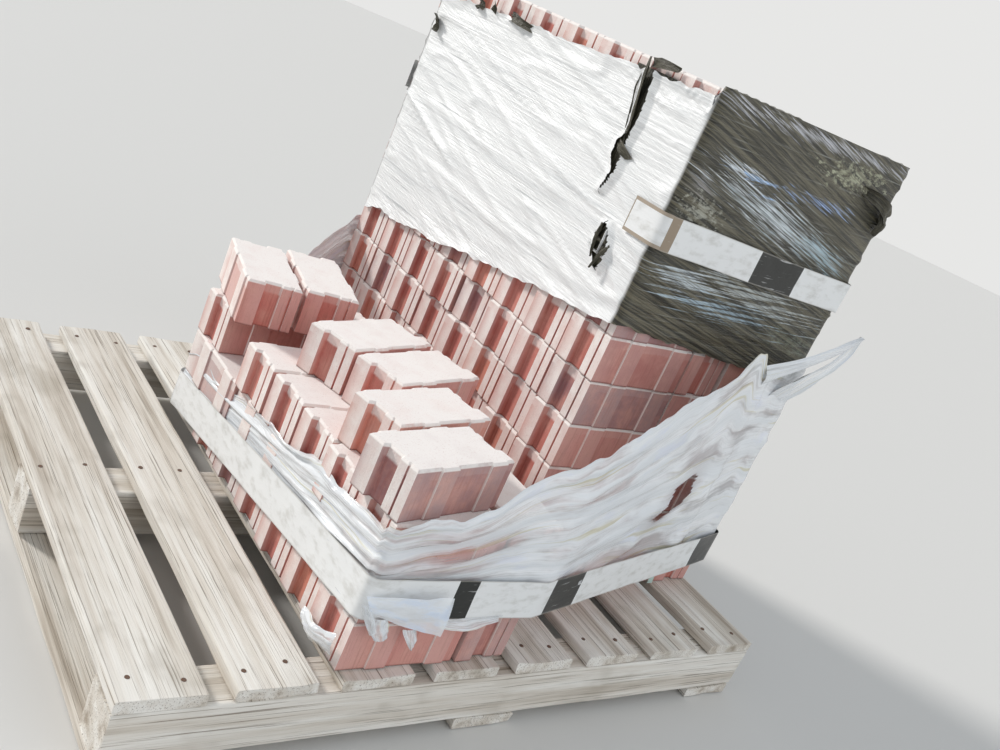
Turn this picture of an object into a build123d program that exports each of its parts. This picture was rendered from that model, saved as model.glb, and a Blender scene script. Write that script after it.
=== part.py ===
from build123d import *
import os
from math import hypot

# A part-used pallet of nibbed paving bricks: a wrapped stack, an opened group of bricks
# beside it, and the timber pallet under both. Origin: centre of the pallet, on the floor.

# Paving brick
BRICK_LENGTH = 200.0
BRICK_WIDTH = 100.0
BRICK_HEIGHT = 80.0
JOINT = 1.0                     # gap between neighbours in a course
NIB_MODULE = 100.0              # the nibs repeat at about this pitch along a side
END_LAND = 32.0                 # raised nib on an end face
END_SLOPE = 3.0                 # run of the flanks beside the slot
END_SLOT_DEPTH = 10.0
END_SLOT_END = 60.0
END_LOBE_DEPTH = 5.0            # two low lobes with a narrow groove between them
END_LOBE_END = 78.0
END_GROOVE_WIDTH = 4.0
END_GROOVE_DEPTH = 8.0
SIDE_NIB_START = 50.0           # low nib on a long side
SIDE_NIB_END = 84.0
SIDE_NIB_DEPTH = 3.0
JOINT_DEPTH = 16.0              # how far an open joint is cut into a course

# Pallet
PALLET_LENGTH = 1200.0          # along X
PALLET_WIDTH = 1000.0           # along Y
DECK_THICKNESS = 20.0
DECK_BOARD_WIDTH = 118.0
DECK_BOARDS = 8
BEARER_HEIGHT = 80.0
BEARER_WIDTH = 75.0
BEARERS = 3
BASE_THICKNESS = 20.0
BASE_BOARD_WIDTH = 118.0
BASE_BOARDS = 3
DECK_TOP = BASE_THICKNESS + BEARER_HEIGHT + DECK_THICKNESS

# Wrapped stack: its outer corner lies on the back right of the pallet
STACK_COURSES = 11
STACK_ROWS = 8                  # bricks side by side along Y
STACK_LONG_BRICKS = 2           # bricks end to end along X, beside one column turned round
STACK_BACK_MARGIN = 5.0
STACK_RIGHT_MARGIN = 10.0
CORE_FIRST_COURSE = 8           # hidden courses under the black film, made as one core
CORE_LAST_COURSE = 10

# Opened group of bricks
GROUP_COURSES = 3               # whole courses under the loose bricks
GROUP_ROWS = 7
GROUP_LEFT = -301.0
GROUP_FRONT = -482.0
HOLE_ROW = 5                    # row from the front whose brick is missing
HOLE_COURSE = 3
TURNED_COURSE = 2               # course whose bricks are laid the other way round
CUT_PAST = 1.0                  # how far a cut runs past the face it opens

# Films and tapes
SEAT_GAP = 0.3                  # between the bricks and a film
TAPE_GAP = 0.6                  # between a film and the tape round it
FILM_THICKNESS = 1.5
CLEAR_THICKNESS = 1.2
TAPE_THICKNESS = 0.8
UPPER_TAPE_WIDTH = 56.0
UPPER_TAPE_LEAD = 74.0          # its torn end lies this far round the stack's front left corner
LOWER_TAPE_WIDTH = 66.0

# Heights above the deck in brick heights, at each corner from the back left round by the front;
# the upper tape's run from its torn end round by the front to the back left
BLACK_BOTTOM = [4.65, 6.275, 5.6875, 5.0]
BLACK_TOP = [10.4, 10.85, 10.95, 10.75]
UPPER_TAPE_TOP = [8.6, 8.625, 8.275, 8.275, 8.5]
CLEAR_BOTTOM = [0.25, 1.25, 1.125, 0.75, 0.75, 0.75]
CLEAR_TOP = [1.375, 2.9, 4.025, 6.5625, 6.0, 4.375]
LOWER_TAPE_TOP = [0.875, 2.0625, 1.9, 1.5625, 1.375, 1.25]

# Loose bricks on the group: front left corner in brick widths from the group's own, turn in
# degrees about that corner, and whether the brick's length is along Y
LOOSE_BRICKS = {
    "brick_a": (0.74, 3.40, 20.0, False),
    "brick_b": (1.07, 2.41, 18.0, False),
    "brick_c": (0.35, 1.16, 14.0, False),
    "brick_d": (-0.02, 0.02, 12.5, False),
    "brick_e": (-0.19, 5.65, -12.0, True),
    "brick_f": (0.89, 5.60, -12.0, True),
}

# Places worked out from the sizes above
STACK_RIGHT = PALLET_LENGTH / 2 - STACK_RIGHT_MARGIN
STACK_BACK = PALLET_WIDTH / 2 - STACK_BACK_MARGIN
STACK_SPAN_X = STACK_LONG_BRICKS * (BRICK_LENGTH + JOINT) + BRICK_WIDTH
STACK_SPAN_Y = STACK_ROWS * BRICK_WIDTH + (STACK_ROWS - 1) * JOINT
STACK_LEFT = STACK_RIGHT - STACK_SPAN_X
STACK_FRONT = STACK_BACK - STACK_SPAN_Y
GROUP_SPAN_X = BRICK_LENGTH + JOINT + BRICK_WIDTH
GROUP_SPAN_Y = GROUP_ROWS * BRICK_WIDTH + (GROUP_ROWS - 1) * JOINT
GROUP_TOP = DECK_TOP + GROUP_COURSES * BRICK_HEIGHT
BLACK_REACH = SEAT_GAP + FILM_THICKNESS


def save(name, solid):
    export_step(solid, f"parts/{name}.step")


def block(x_low, x_high, y_low, y_high, z_low, z_high):
    size = (x_high - x_low, y_high - y_low, z_high - z_low)
    return Pos(x_low, y_low, z_low) * Box(*size, align=(Align.MIN, Align.MIN, Align.MIN))


def end_profile(start):
    """Distance and depth of one end face: raised nib, slot, and two lobes with a groove."""
    points = [
        (0.0, 0.0),
        (END_LAND, 0.0),
        (END_LAND + END_SLOPE, END_SLOT_DEPTH),
        (END_SLOT_END, END_SLOT_DEPTH),
        (END_SLOT_END + END_SLOPE, END_LOBE_DEPTH),
        (END_LOBE_END, END_LOBE_DEPTH),
        (END_LOBE_END, END_GROOVE_DEPTH),
        (END_LOBE_END + END_GROOVE_WIDTH, END_GROOVE_DEPTH),
        (END_LOBE_END + END_GROOVE_WIDTH, END_LOBE_DEPTH),
        (BRICK_WIDTH, END_LOBE_DEPTH),
    ]
    return [(start + run, depth) for run, depth in points]


def long_profile(start):
    """Distance and depth of one long side, with a low nib in each module."""
    points = [(start, SIDE_NIB_DEPTH)]
    modules = max(1, round(BRICK_LENGTH / NIB_MODULE))
    for module in range(modules):
        base = start + module * BRICK_LENGTH / modules
        points += [
            (base + SIDE_NIB_START, SIDE_NIB_DEPTH),
            (base + SIDE_NIB_START, 0.0),
            (base + SIDE_NIB_END, 0.0),
            (base + SIDE_NIB_END, SIDE_NIB_DEPTH),
        ]
    return points + [(start + BRICK_LENGTH, SIDE_NIB_DEPTH)]


PROFILES = {"end": (end_profile, BRICK_WIDTH), "long": (long_profile, BRICK_LENGTH)}


def bricks_along(span):
    """Bricks laid lengthwise along a side, with one turned round where there is room."""
    count = int((span + JOINT) // (BRICK_LENGTH + JOINT))
    spare = span - count * (BRICK_LENGTH + JOINT)
    return ["long"] * count + (["end"] if spare >= BRICK_WIDTH else [])


def side_points(units):
    """One side of a course: its bricks in turn, with an open joint between two."""
    points = []
    start = 0.0
    for unit in units:
        profile, length = PROFILES[unit]
        if points:
            points += [(start - JOINT, JOINT_DEPTH), (start, JOINT_DEPTH)]
        points += profile(start)
        start += length + JOINT
    return points


def outline(span_x, span_y, west, south, east, north):
    """Outline of a brick or course, anticlockwise from its back left corner."""
    sides = [side_points(units) for units in (west, south, east, north)]
    spans = [span_y, span_x, span_y, span_x]
    to_plan = [
        lambda s, d: (d, span_y - s),
        lambda s, d: (s, d),
        lambda s, d: (span_x - d, s),
        lambda s, d: (span_x - s, span_y - d),
    ]
    points = []
    for index, side in enumerate(sides):
        first = sides[index - 1][-1][1]
        last = sides[(index + 1) % 4][0][1]
        trimmed = [(first, side[0][1])] + side[1:-1] + [(spans[index] - last, side[-1][1])]
        points += [to_plan[index](s, d) for s, d in trimmed[1:]]
    return points


def prism(points, height):
    return extrude(make_face(Polyline(*points, close=True)), height)


def brick():
    sides = outline(BRICK_LENGTH, BRICK_WIDTH, ["end"], ["long"], ["end"], ["long"])
    return prism(sides, BRICK_HEIGHT)


def turned_brick():
    """The same brick with its length along Y."""
    return Pos(BRICK_WIDTH, 0, 0) * Rot(0, 0, 90) * brick()


def stack_course(number):
    """A course of the wrapped stack as one solid with its joints cut into its sides."""
    long_row = ["long"] * STACK_LONG_BRICKS
    south = long_row + ["end"] if number % 2 else long_row[:-1] + ["end", "long"]
    ends = ["end"] * STACK_ROWS
    east = bricks_along(STACK_SPAN_Y) if number % 2 else ends
    sides = outline(STACK_SPAN_X, STACK_SPAN_Y, ends, south, east, south[::-1])
    base = DECK_TOP + (number - 1) * BRICK_HEIGHT
    return Pos(STACK_LEFT, STACK_FRONT, base) * prism(sides, BRICK_HEIGHT)


def group_course(number):
    """A course of the opened group as one solid, with the missing brick cut out."""
    ends = ["end"] * GROUP_ROWS
    longs = bricks_along(GROUP_SPAN_Y)
    turned = number == TURNED_COURSE
    west = longs if turned else ends
    east = ends if turned else longs
    south = ["end", "long"] if turned else ["long", "end"]
    sides = outline(GROUP_SPAN_X, GROUP_SPAN_Y, west, south, east, south[::-1])
    base = DECK_TOP + (number - 1) * BRICK_HEIGHT
    course = Pos(GROUP_LEFT, GROUP_FRONT, base) * prism(sides, BRICK_HEIGHT)
    if number == HOLE_COURSE:
        row = GROUP_FRONT + HOLE_ROW * (BRICK_WIDTH + JOINT)
        left, right = GROUP_LEFT - CUT_PAST, GROUP_LEFT + BRICK_LENGTH
        course -= block(left, right, row - JOINT, row + BRICK_WIDTH, base, base + BRICK_HEIGHT)
    return course


def loose_brick(across, back, turn, along_y):
    """A brick on the group's top, placed by one line of LOOSE_BRICKS."""
    shape = turned_brick() if along_y else brick()
    corner = (GROUP_LEFT + across * BRICK_WIDTH, GROUP_FRONT + back * BRICK_WIDTH, GROUP_TOP)
    return Pos(*corner) * Rot(0, 0, turn) * shape


def deck_board(number):
    pitch = (PALLET_LENGTH - DECK_BOARD_WIDTH) / (DECK_BOARDS - 1)
    left = -PALLET_LENGTH / 2 + number * pitch
    back = PALLET_WIDTH / 2
    return block(left, left + DECK_BOARD_WIDTH, -back, back, DECK_TOP - DECK_THICKNESS, DECK_TOP)


def bearer(number):
    pitch = (PALLET_WIDTH - BEARER_WIDTH) / (BEARERS - 1)
    front = -PALLET_WIDTH / 2 + number * pitch
    end = PALLET_LENGTH / 2
    top = BASE_THICKNESS + BEARER_HEIGHT
    return block(-end, end, front, front + BEARER_WIDTH, BASE_THICKNESS, top)


def base_board(number):
    pitch = (PALLET_LENGTH - BASE_BOARD_WIDTH) / (BASE_BOARDS - 1)
    left = -PALLET_LENGTH / 2 + number * pitch
    back = PALLET_WIDTH / 2
    return block(left, left + BASE_BOARD_WIDTH, -back, back, 0, BASE_THICKNESS)


def panel(start, end, low, high, thickness):
    """A flat upright sheet from start to end in plan, with its heights at both ends."""
    dx = end[0] - start[0]
    dy = end[1] - start[1]
    run = hypot(dx, dy)
    along = Vector(dx / run, dy / run, 0)
    wall = Plane(origin=(start[0], start[1], 0), x_dir=along, z_dir=(dy / run, -dx / run, 0))
    corners = [(0, low[0]), (run + thickness, low[1]), (run + thickness, high[1]), (0, high[0])]
    return wall * extrude(make_face(Polyline(*corners, close=True)), thickness)


def band(path, lows, highs, thickness, closed=True):
    """A band of sheet round the load; path runs anticlockwise seen from above."""
    sheets = []
    panels = len(path) if closed else len(path) - 1
    for index in range(panels):
        start = path[index]
        after = (index + 1) % len(path)
        low = (DECK_TOP + lows[index], DECK_TOP + lows[after])
        high = (DECK_TOP + highs[index], DECK_TOP + highs[after])
        sheets.append(panel(start, path[after], low, high, thickness))
    return sheets[0].fuse(*sheets[1:])


def grown(path, gap):
    """The path moved outwards by gap, with its corners mitred."""
    moved = []
    for index, corner in enumerate(path):
        before = Vector(*path[index - 1])
        here = Vector(*corner)
        after = Vector(*path[(index + 1) % len(path)])
        normal_in = (here - before).normalized().cross(Vector(0, 0, 1))
        normal_out = (after - here).normalized().cross(Vector(0, 0, 1))
        mitre = (normal_in + normal_out) / (1 + normal_in.dot(normal_out))
        place = here + mitre * gap
        moved.append((place.X, place.Y))
    return moved


def around_stack(gap):
    """Corners of the wrapped stack in plan, gap outside its bricks."""
    corners = [
        (STACK_LEFT, STACK_BACK),
        (STACK_LEFT, STACK_FRONT),
        (STACK_RIGHT, STACK_FRONT),
        (STACK_RIGHT, STACK_BACK),
    ]
    return grown(corners, gap)


def around_load(gap):
    """Corners of the stack and the opened group together, gap outside their bricks."""
    corners = [
        (GROUP_LEFT, GROUP_FRONT + GROUP_SPAN_Y),
        (GROUP_LEFT, GROUP_FRONT),
        (GROUP_LEFT + GROUP_SPAN_X, GROUP_FRONT),
        (STACK_RIGHT + BLACK_REACH, STACK_FRONT - BLACK_REACH),
        (STACK_RIGHT + BLACK_REACH, STACK_BACK + BLACK_REACH),
        (STACK_LEFT, STACK_BACK + BLACK_REACH),
    ]
    return grown(corners, gap)


def above_deck(heights, drop=0.0):
    """Heights in brick heights as millimetres, drop lower."""
    return [height * BRICK_HEIGHT - drop for height in heights]


def black_film():
    path = around_stack(SEAT_GAP)
    return band(path, above_deck(BLACK_BOTTOM), above_deck(BLACK_TOP), FILM_THICKNESS)


def upper_tape():
    """The upper tape, which is torn off on the left side and goes round the other three."""
    back_left, front_left, front_right, back_right = around_stack(BLACK_REACH + TAPE_GAP)
    torn_end = (front_left[0], front_left[1] + UPPER_TAPE_LEAD)
    path = [torn_end, front_left, front_right, back_right, back_left]
    lows = above_deck(UPPER_TAPE_TOP, UPPER_TAPE_WIDTH)
    return band(path, lows, above_deck(UPPER_TAPE_TOP), TAPE_THICKNESS, closed=False)


def clear_film():
    path = around_load(SEAT_GAP)
    return band(path, above_deck(CLEAR_BOTTOM), above_deck(CLEAR_TOP), CLEAR_THICKNESS)


def lower_tape():
    path = around_load(SEAT_GAP + CLEAR_THICKNESS + TAPE_GAP)
    lows = above_deck(LOWER_TAPE_TOP, LOWER_TAPE_WIDTH)
    return band(path, lows, above_deck(LOWER_TAPE_TOP), TAPE_THICKNESS)


def stack_core():
    """The hidden courses behind the black film, as one plain solid."""
    base = DECK_TOP + (CORE_FIRST_COURSE - 1) * BRICK_HEIGHT
    top = DECK_TOP + CORE_LAST_COURSE * BRICK_HEIGHT
    return block(STACK_LEFT, STACK_RIGHT, STACK_FRONT, STACK_BACK, base, top)


def main():
    os.makedirs("parts", exist_ok=True)
    for number in range(DECK_BOARDS):
        save(f"deck_board_{number + 1}", deck_board(number))
    for number in range(BEARERS):
        save(f"bearer_{number + 1}", bearer(number))
    for number in range(BASE_BOARDS):
        save(f"base_board_{number + 1}", base_board(number))
    for number in range(1, STACK_COURSES + 1):
        if not CORE_FIRST_COURSE <= number <= CORE_LAST_COURSE:
            save(f"stack_course_{number:02d}", stack_course(number))
    save("stack_core", stack_core())
    for number in range(1, GROUP_COURSES + 1):
        save(f"group_course_{number}", group_course(number))
    for name, place in LOOSE_BRICKS.items():
        save(name, loose_brick(*place))
    save("black_film", black_film())
    save("clear_film", clear_film())
    save("upper_tape", upper_tape())
    save("lower_tape", lower_tape())


main()
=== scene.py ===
import math
import random

import bmesh
import bpy
from mathutils import Matrix, Vector, noise


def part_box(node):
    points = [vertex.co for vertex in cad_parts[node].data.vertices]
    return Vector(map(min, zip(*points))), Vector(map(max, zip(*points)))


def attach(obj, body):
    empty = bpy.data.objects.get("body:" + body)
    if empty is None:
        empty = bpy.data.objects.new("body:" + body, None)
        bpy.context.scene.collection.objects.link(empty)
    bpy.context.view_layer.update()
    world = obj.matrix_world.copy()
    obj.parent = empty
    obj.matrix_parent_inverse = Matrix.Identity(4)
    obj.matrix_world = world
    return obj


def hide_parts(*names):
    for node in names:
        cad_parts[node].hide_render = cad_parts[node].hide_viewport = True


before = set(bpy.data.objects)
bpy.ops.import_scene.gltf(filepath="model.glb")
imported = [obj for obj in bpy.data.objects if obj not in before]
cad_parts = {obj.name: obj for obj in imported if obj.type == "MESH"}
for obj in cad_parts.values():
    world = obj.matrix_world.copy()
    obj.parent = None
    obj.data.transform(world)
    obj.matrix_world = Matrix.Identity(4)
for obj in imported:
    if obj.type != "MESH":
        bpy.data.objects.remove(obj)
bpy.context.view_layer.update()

# Sizes of the load, in metres, as the solids have them
BRICK_LENGTH, BRICK_WIDTH, BRICK_HEIGHT = 0.200, 0.100, 0.080
JOINT = 0.001
ROW = BRICK_WIDTH + JOINT
RUN = BRICK_LENGTH + JOINT
DECK_TOP = 0.120
STACK_LEFT, STACK_RIGHT = 0.088, 0.590
STACK_FRONT, STACK_BACK = -0.312, 0.495
STACK_ROWS, STACK_COURSES = 8, 11
CORE_COURSES = (8, 9, 10)        # the film hides these, and one solid stands for them
GROUP_LEFT, GROUP_FRONT = -0.301, -0.482
GROUP_ROWS, GROUP_COURSES = 7, 3
GROUP_DEPTH, GROUP_TOP = 0.706, 0.360
HOLE = (3, 5)                    # course and row of the group's missing brick
QUARTER_TURN = math.pi / 2

# Loose bricks: front left corner in metres, turn in degrees, and whether it lies along Y
LOOSE_BRICKS = {
    "brick_a": (-0.227, -0.142, 20.0, False),
    "brick_b": (-0.194, -0.241, 18.0, False),
    "brick_c": (-0.266, -0.366, 14.0, False),
    "brick_d": (-0.303, -0.480, 12.5, False),
    "brick_e": (-0.320, 0.083, -12.0, True),
    "brick_f": (-0.212, 0.078, -12.0, True),
}

# Bricks that stand a little out of line on the left sides: (course, row) and millimetres
PUSHED = {
    (5, 3): 9, (5, 5): 5, (5, 0): 4, (4, 4): 6, (4, 1): 3, (6, 4): 5, (6, 2): 3, (3, 2): 5,
    (3, 5): 4, (6, 7): 4, (5, 6): 3, (2, 3): 4, (4, 6): 5, (7, 1): 3,
}
DRAWN_OUT = {
    (3, 0): 3, (3, 1): 5, (3, 2): 1, (3, 3): 6, (3, 4): 12, (3, 6): 9, (1, 0): 2, (1, 2): 3,
    (1, 3): 1, (1, 5): 3, (2, 0): 2, (2, 1): 4, (2, 2): 11,
}


# Node helpers

class Nodes:
    """A node tree, with short calls for the nodes that are used most."""

    def __init__(self, tree):
        self.tree = tree

    def feed(self, socket, value):
        """Links a node's output to a socket, or writes a number, a name or a colour on it."""
        if isinstance(value, bpy.types.Node):
            value = value.outputs[0]
        if isinstance(value, bpy.types.NodeSocket):
            self.tree.links.new(value, socket)
        else:
            socket.default_value = (*value, 1.0) if socket.type == "RGBA" else value

    def new(self, kind, inputs=(), **settings):
        """A node with its settings; its inputs are given by name or number."""
        node = self.tree.nodes.new(kind)
        for key, value in settings.items():
            setattr(node, key, value)
        for key, value in dict(inputs).items():
            self.feed(node.inputs[key], value)
        return node

    def maths(self, operation, *values, clamp=False):
        return self.new("ShaderNodeMath", enumerate(values), operation=operation, use_clamp=clamp)

    def times(self, first, second):
        return self.maths("MULTIPLY", first, second)

    def plus(self, first, second):
        return self.maths("ADD", first, second)

    def moved(self, place, by):
        return self.new("ShaderNodeVectorMath", {0: place, 1: by}, operation="ADD")

    def between(self, value, low, high, to_low=0.0, to_high=1.0):
        """The value, eased from the range low to high into the range to_low to to_high."""
        values = enumerate((value, low, high, to_low, to_high))
        return self.new("ShaderNodeMapRange", values, interpolation_type="SMOOTHSTEP")

    def blend(self, share, first, second):
        colours = {0: share, 6: first, 7: second}
        return self.new("ShaderNodeMix", colours, data_type="RGBA", clamp_factor=True).outputs[2]

    def coats(self, colour, *layers):
        """A colour under coats of paint, each with its share and its colour.

        The share is a node, or a value with the range where it shows and how strongly.
        """
        for *share, paint in layers:
            if len(share) > 1:
                value, low, high, strength = share
                share = [self.between(value, low, high, 0.0, strength)]
            colour = self.blend(share[0], colour, paint)
        return colour

    def streaks(self, place, stretch, detail=4.0, roughness=0.6, offset=(0, 0, 0)):
        """Noise on a place that is stretched first, so that it runs in streaks."""
        place = self.new("ShaderNodeMapping",
                         {"Vector": place, "Scale": stretch, "Location": offset})
        return self.new("ShaderNodeTexNoise", {
            "Vector": place, "Scale": 1.0, "Detail": detail, "Roughness": roughness})

    def colour_steps(self, value, *stops):
        node = self.new("ShaderNodeValToRGB", {0: value})
        elements = node.color_ramp.elements
        while len(elements) < len(stops):
            elements.new(0.5)
        for element, (place, colour) in zip(elements, stops):
            element.position = place
            element.color = (*colour, 1.0)
        return node

    def attribute(self, name, output="Vector"):
        return self.new("ShaderNodeAttribute", attribute_name=name).outputs[output]

    def parts(self, vector):
        return self.new("ShaderNodeSeparateXYZ", {0: vector}).outputs


class Finish(Nodes):
    """The nodes of a new material."""

    def __init__(self, name):
        self.material = bpy.data.materials.new(name)
        self.material.use_nodes = True
        super().__init__(self.material.node_tree)

    def done(self, colour, roughness, bumps=None, **others):
        """The material, with these values on its shader; bumps are a height, strength and depth."""
        values = {"Base Color": colour, "Roughness": roughness, **others}
        if bumps:
            names = ("Height", "Strength", "Distance")
            values["Normal"] = self.new("ShaderNodeBump", zip(names, bumps))
        shader = self.tree.nodes["Principled BSDF"]
        for key, value in values.items():
            self.feed(shader.inputs[key], value)
        return self.material


# Brick, timber, steel and plastic

# Pale clay: the painted highlight of the brick sides, and the worn arrises
PALE_CLAY = (0.93, 0.87, 0.83)


def fired_brick():
    """Red clay with a tone for each brick. Raised faces and their upper band are painted pale as
    highlight, most on the sides facing -x; the slot and groove stay red as painted shade; the top
    is painted pale as highlight and dust; the worn arrises are pale.
    """
    make = Finish("fired_brick")
    place = make.attribute("place")
    tone, painted_light_share = make.attribute("tone", "Fac"), make.attribute("painted_light_share", "Fac")
    apart = make.new("ShaderNodeCombineXYZ", {
        axis: make.times(tone, far) for axis, far in enumerate((31.0, 17.0, 43.0))})
    own = make.moved(place, apart)
    grit = make.streaks(own, (420, 420, 420), 3.0, 0.7)
    blotch = make.streaks(own, (26, 26, 26))
    scrape = make.streaks(own, (300, 300, 18), 3.0)
    facing = make.parts(make.new("ShaderNodeNewGeometry").outputs["Normal"])
    height = make.parts(place)[2]
    up = make.between(facing[2], 0.72, 0.95)
    side = make.maths("SUBTRACT", 1.0, up)
    # Painted highlight: the upper part of each brick, slots too, is painted pale as if sunlit
    painted_sunlit_band = make.between(make.plus(height, make.times(blotch, 0.012)), 0.066, 0.071)
    painted_lit_faces = make.maths("MAXIMUM", make.between(painted_light_share, 0.15, 0.90), make.times(painted_sunlit_band, 0.82))
    # Painted highlight on the raised faces and upper band: full on the sides facing -x, towards the
    # key light, and a quarter of it elsewhere
    painted_lit_sides = make.times(painted_lit_faces, make.between(facing[0], -0.35, -0.85, 0.24, 1.0))
    arris = make.times(make.between(height, 0.0748, 0.0768), side)
    clay = make.colour_steps(
        tone,
        (0.00, (0.470, 0.150, 0.125)),
        (0.30, (0.570, 0.200, 0.170)),
        (0.62, (0.640, 0.255, 0.215)),
        (0.84, (0.670, 0.265, 0.190)),
        (0.90, (0.380, 0.190, 0.190)),
        (1.00, (0.310, 0.165, 0.175)),
    )
    colour = make.coats(
        clay,
        (blotch, 0.34, 0.76, 0.8, (0.66, 0.33, 0.27)),
        (scrape, 0.45, 0.75, 0.4, (0.34, 0.095, 0.070)),
        # The painted highlight, in pale clay
        (make.times(painted_lit_sides, make.between(blotch, 0.28, 0.70, 0.98, 0.72)), PALE_CLAY),
        # Top faces painted pale: a painted highlight together with dust
        (make.times(up, make.between(blotch, 0.20, 0.60, 0.86, 0.98)), (0.94, 0.89, 0.86)),
        (grit, 0.58, 0.68, 0.26, (0.40, 0.15, 0.12)),
        (make.times(arris, make.between(blotch, 0.30, 0.50, 0.55, 1.0)), PALE_CLAY),
        (height, 0.004, 0.0, 0.65, (0.16, 0.06, 0.05)),
    )
    rough = make.plus(make.times(scrape, side), grit)
    return make.done(colour, 0.9, (rough, 0.55, 0.0012), **{"Specular IOR Level": 0.25})


def weathered_timber():
    make = Finish("weathered_timber")
    grain = make.attribute("grain")
    broad = make.streaks(grain, (1.6, 34, 34))
    fine = make.streaks(grain, (4, 420, 420), 3.0, 0.7)
    bands = make.colour_steps(
        broad,
        (0.28, (0.440, 0.375, 0.305)),
        (0.44, (0.730, 0.675, 0.600)),
        (0.62, (0.890, 0.860, 0.805)),
    )
    colour = make.coats(
        bands,
        (fine, 0.54, 0.68, 0.80, (0.190, 0.145, 0.105)),
        (make.streaks(grain, (7, 11, 11), 3.0), 0.52, 0.74, 0.42, (0.380, 0.330, 0.260)),
    )
    deep = make.plus(broad, make.times(fine, 0.6))
    return make.done(colour, 0.92, (deep, 0.7, 0.003), **{"Specular IOR Level": 0.2})


def mottled(name, scale, low, high, first, second, roughness, **others):
    """A finish of two colours that noise blends."""
    make = Finish(name)
    place = make.new("ShaderNodeTexCoord").outputs["Object"]
    spots = make.streaks(place, (scale, scale, scale))
    return make.done(make.coats(first, (spots, low, high, 1.0, second)), roughness, **others)


# Films and tapes

# Where x = 0 falls on the run of the black film, which starts at the back left corner
FRONT_RUN = 0.704
# Patches of painted sheen and reflection, and of dirt, on the black film's front: x, z, half sizes,
# slope, streak, strength and colour
FRONT_PATCHES = [
    (0.145, 0.826, 0.095, 0.046, -12, "mottle", 0.75, (0.50, 0.50, 0.42)),
    (0.118, 0.868, 0.060, 0.034, -20, "slope", 0.60, (0.45, 0.44, 0.47)),
    (0.350, 0.718, 0.330, 0.046, -7, "fine", 0.85, (0.58, 0.63, 0.63)),
    (0.190, 0.716, 0.170, 0.046, -5, "fine", 0.85, (0.66, 0.74, 0.79)),
    (0.320, 0.680, 0.260, 0.040, -5, "fine", 0.80, (0.42, 0.56, 0.66)),
    (0.530, 0.650, 0.200, 0.042, -8, "mottle", 0.45, (0.27, 0.31, 0.23)),
    (0.340, 0.846, 0.330, 0.054, -12, "slope", 0.80, (0.42, 0.50, 0.55)),
    (0.310, 0.852, 0.290, 0.050, -12, "thread", 0.95, (0.74, 0.80, 0.84)),
    (0.470, 0.816, 0.150, 0.042, -13, "thread", 0.85, (0.44, 0.60, 0.68)),
    (0.210, 0.899, 0.140, 0.026, -5, "broad", 1.00, (0.44, 0.64, 0.96)),
    (0.190, 0.904, 0.120, 0.018, -6, "thread", 1.00, (0.86, 0.92, 0.98)),
    (0.400, 0.897, 0.170, 0.016, -2, "thread", 0.95, (0.42, 0.58, 0.92)),
    (0.450, 0.956, 0.170, 0.044, 4, "mottle", 0.85, (0.50, 0.51, 0.36)),
    (0.330, 0.990, 0.520, 0.022, 0, "thread", 0.90, (0.64, 0.65, 0.70)),
]


def patched(make, run, colour, streaks):
    """Painted sheen and reflections, and dirt, in the front's ovals: more of the streaks show
    towards an oval's middle.
    """
    flat = make.new("ShaderNodeVectorMath", {0: run, 1: (1.0, 1.0, 0.0)}, operation="MULTIPLY")
    hairs = make.between(streaks["hair"], 0.40, 0.60, 0.30, 1.0)
    for x, z, wide, high, turn, streak, strength, paint in FRONT_PATCHES:
        mapping = make.new("ShaderNodeMapping", {
            "Vector": flat, "Location": (FRONT_RUN + x, z, 0.0),
            "Rotation": (0.0, 0.0, math.radians(turn)), "Scale": (wide, high, 1.0),
        }, vector_type="TEXTURE")
        oval = make.new("ShaderNodeTexGradient", {0: mapping}, gradient_type="SPHERICAL")
        oval = oval.outputs["Fac"]
        limit = make.maths("SUBTRACT", 0.64, make.times(oval, 0.24))
        over = make.maths("SUBTRACT", streaks[streak], limit)
        share = make.times(make.between(over, 0.0, 0.08, 0.0, strength),
                           make.between(oval, 0.0, 0.12))
        colour = make.blend(make.times(share, hairs), colour, paint)
    return colour


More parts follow.
